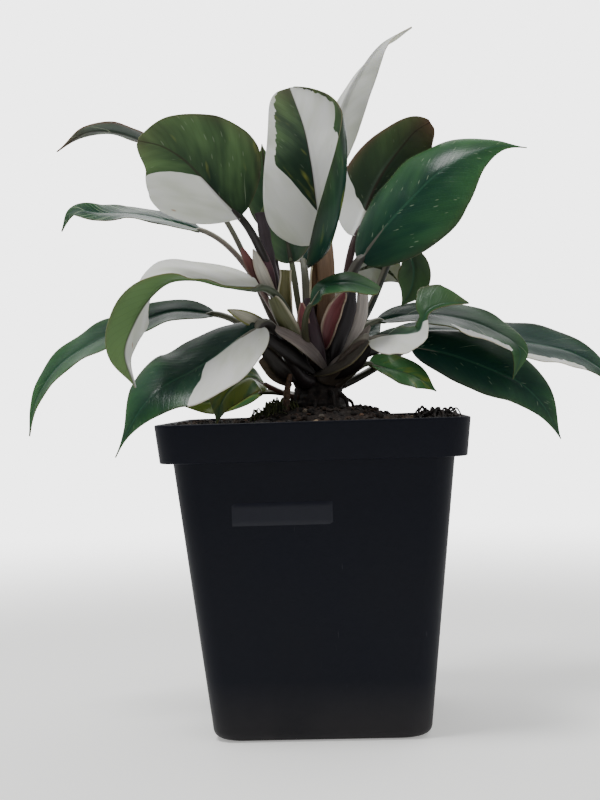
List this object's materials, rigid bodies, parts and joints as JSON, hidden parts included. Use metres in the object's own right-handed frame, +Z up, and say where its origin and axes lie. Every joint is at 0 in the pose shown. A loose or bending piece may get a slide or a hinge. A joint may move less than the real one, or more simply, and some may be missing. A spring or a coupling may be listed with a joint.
{
  "type": "potted philodendron",
  "caption": "Free-standing climbing aroid with long pointed white-and-green leaves round a short stem, in a tapered square black nursery pot filled with potting mix.",
  "frame": {"origin": "centre of the flat underside of the pot", "axes": "+Z up, -Y the front that the plant is mostly seen from, +X to the right; the pot's sides are parallel to X and Y"},
  "size_m": [0.3187, 0.1712, 0.3584],
  "materials": {
    "pot": "satin-matt injection-moulded polypropylene, faint scuffs",
    "potting_mix": "rough damp peat and bark crumbs",
    "stem_bark": "rough ringed bark with dry leaf scars",
    "leaf_green": "waxy leaf, glossy above and satin below, with irregular white sectors",
    "leaf_white": "waxy cream-white leaf without chlorophyll, satin, slightly see-through",
    "stalk": "smooth olive to dark purple leaf stalk with pale lines, satin",
    "sheath": "thin cream to pink leaf sheath, satin"
  },
  "bodies": {
    "root": {"pot": "pot", "potting_mix": "potting_mix", "main_stem": "stem_bark", "root_clump": "stem_bark", "aerial_root": "stem_bark", "new_leaf_spike": "sheath", "sheath_left": "sheath", "sheath_right": "sheath", "leaf_01_blade": "leaf_white", "leaf_01_stalk": "stalk", "leaf_02_blade": "leaf_green", "leaf_02_stalk": "stalk", "leaf_03_blade": "leaf_green", "leaf_03_stalk": "stalk", "leaf_04_blade": "leaf_green", "leaf_04_stalk": "stalk", "leaf_05_blade": "leaf_green", "leaf_05_stalk": "stalk", "leaf_06_blade": "leaf_green", "leaf_06_stalk": "stalk", "leaf_07_blade": "leaf_green", "leaf_07_stalk": "stalk", "leaf_08_blade": "leaf_green", "leaf_08_stalk": "stalk", "leaf_09_blade": "leaf_green", "leaf_09_stalk": "stalk", "leaf_10_blade": "leaf_white", "leaf_10_stalk": "stalk", "leaf_11_blade": "leaf_green", "leaf_11_stalk": "stalk", "leaf_12_blade": "leaf_green", "leaf_12_stalk": "stalk", "leaf_13_blade": "leaf_green", "leaf_13_stalk": "stalk", "leaf_14_blade": "leaf_green", "leaf_14_stalk": "stalk", "leaf_15_blade": "leaf_white", "leaf_15_stalk": "stalk", "leaf_16_blade": "leaf_green", "leaf_16_stalk": "stalk", "leaf_17_blade": "leaf_green", "leaf_17_stalk": "stalk", "leaf_18_blade": "leaf_green", "leaf_18_stalk": "stalk", "leaf_19_blade": "leaf_green", "leaf_19_stalk": "stalk", "leaf_20_blade": "leaf_green", "leaf_20_stalk": "stalk", "leaf_21_blade": "leaf_green", "leaf_21_stalk": "stalk", "leaf_22_blade": "leaf_green", "leaf_22_stalk": "stalk", "leaf_23_blade": "leaf_green", "leaf_23_stalk": "stalk", "leaf_24_blade": "leaf_green", "leaf_24_stalk": "stalk", "leaf_25_blade": "leaf_green", "leaf_25_stalk": "stalk", "leaf_26_blade": "leaf_green", "leaf_26_stalk": "stalk"}
  },
  "joints": []
}
